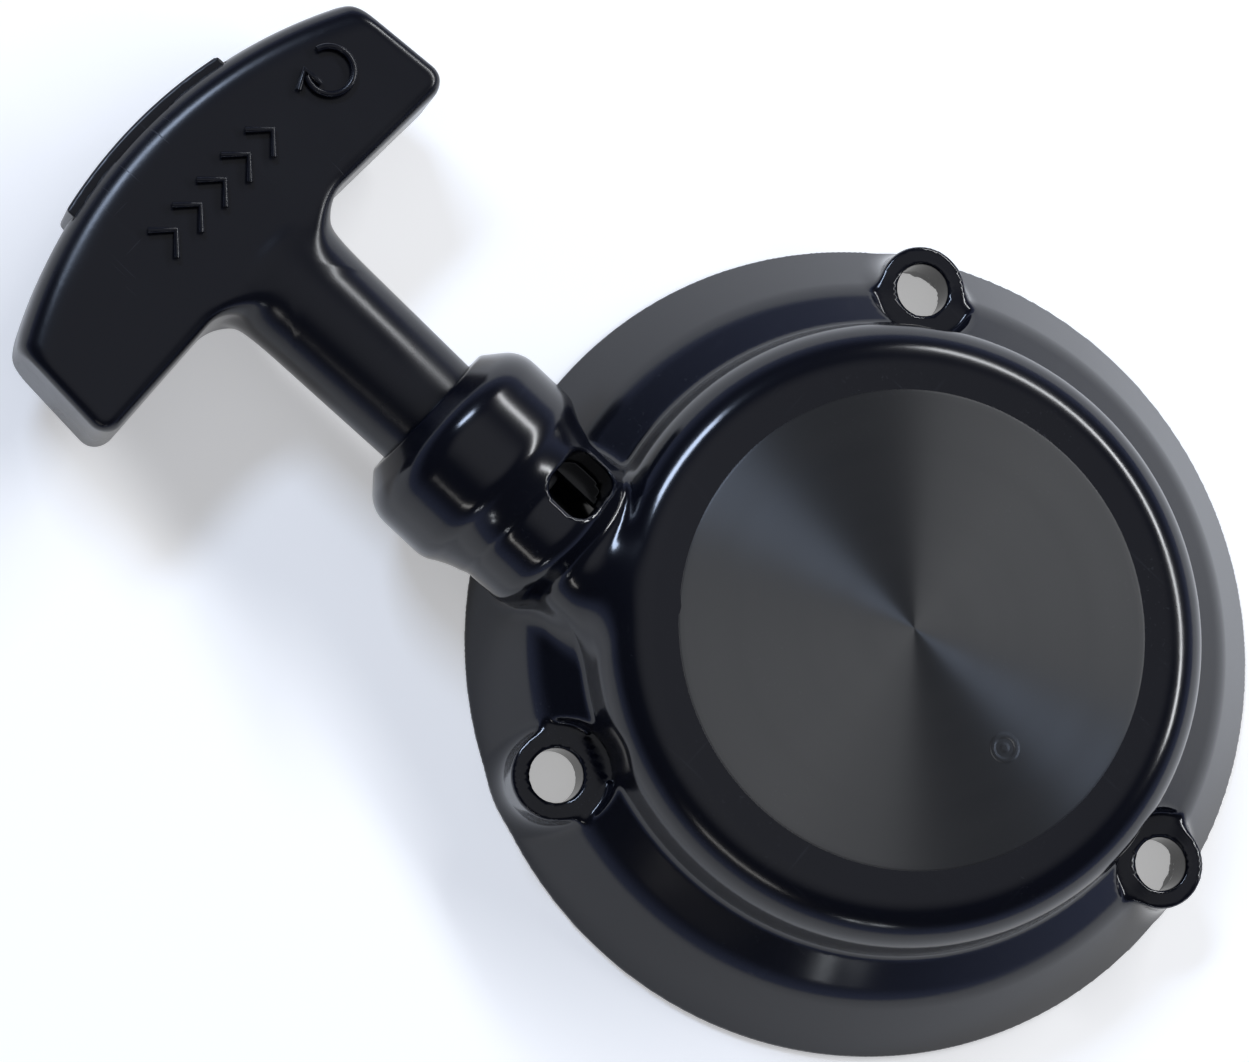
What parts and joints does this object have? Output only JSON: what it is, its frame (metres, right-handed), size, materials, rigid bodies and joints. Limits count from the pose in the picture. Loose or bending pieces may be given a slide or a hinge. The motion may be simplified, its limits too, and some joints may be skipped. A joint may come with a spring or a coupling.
{
  "type": "recoil starter",
  "caption": "Round pull-rope starter cover with a rope outlet and T-grip; spring-wound reel and swinging pawls inside.",
  "frame": {"origin": "centre of the mounting bolt circle, on the plane of the three mounting pads", "axes": "+Z is the reel's axis, pointing to the outer face; +X is the way the rope is pulled; +Y completes the set and points to the side where the rope leaves"},
  "size_m": [0.1578, 0.1, 0.0261],
  "materials": {
    "cover_plastic": "gloss black moulding with a faint blue cast",
    "grip_plastic": "gloss black moulding",
    "reel_plastic": "dark satin nylon",
    "guide_plastic": "natural nylon",
    "rope": "black braided cord with a pale fleck",
    "spring_steel": "oiled spring steel",
    "plated_steel": "zinc-plated steel",
    "sintered_steel": "sintered steel",
    "bronze": "sintered bronze",
    "dark_nylon": "black nylon"
  },
  "bodies": {
    "cover": {"housing": "cover_plastic", "rope_guide": "dark_nylon", "recoil_spring": "spring_steel", "thrust_washer": "guide_plastic", "friction_spring": "spring_steel", "retainer_washer": "plated_steel", "centre_screw": "plated_steel"},
    "handle": {"grip": "grip_plastic", "grip_cap": "grip_plastic", "grip_washer": "plated_steel", "grip_knot": "rope", "rope_lead": "rope"},
    "reel": {"reel": "reel_plastic", "reel_bushing": "bronze", "rope_wound": "rope", "reel_knot": "rope", "spring_plate": "plated_steel", "pawl_pins": "spring_steel"},
    "guide": {"guide_plate": "plated_steel"},
    "pawl_1": {"pawl_1": "sintered_steel"},
    "pawl_2": {"pawl_2": "sintered_steel"}
  },
  "joints": [
    {"name": "handle_pull", "type": "slide", "parent": "cover", "child": "handle", "axis": [1, 0, 0], "range_m": [0, 0.62], "deforming": ["rope_lead"]},
    {"name": "reel_spin", "type": "hinge", "parent": "cover", "child": "reel", "pos_m": [0, 0, 0], "axis": [0, 0, 1], "range_deg": [-1880, 0], "stiffness_Nm_per_rad": 0.004, "springref_deg": 1145.92, "deforming": ["recoil_spring"]},
    {"name": "guide_turn", "type": "hinge", "parent": "reel", "child": "guide", "pos_m": [0, 0, 0], "axis": [0, 0, 1], "range_deg": [0, 20], "stiffness_Nm_per_rad": 0.002, "springref_deg": -20.05},
    {"name": "pawl_1_swing", "type": "hinge", "parent": "reel", "child": "pawl_1", "pos_m": [0.0125, 0, 0], "axis": [0, 0, 1], "range_deg": [0, 25.5]},
    {"name": "pawl_2_swing", "type": "hinge", "parent": "reel", "child": "pawl_2", "pos_m": [-0.0125, 0, 0], "axis": [0, 0, 1], "range_deg": [0, 25.5]}
  ],
  "couplings": [
    {"joint": "reel_spin", "follows": "handle_pull", "rad_per_m": -52.632},
    {"joint": "pawl_1_swing", "follows": "guide_turn", "ratio": 1.25},
    {"joint": "pawl_2_swing", "follows": "guide_turn", "ratio": 1.25}
  ]
}
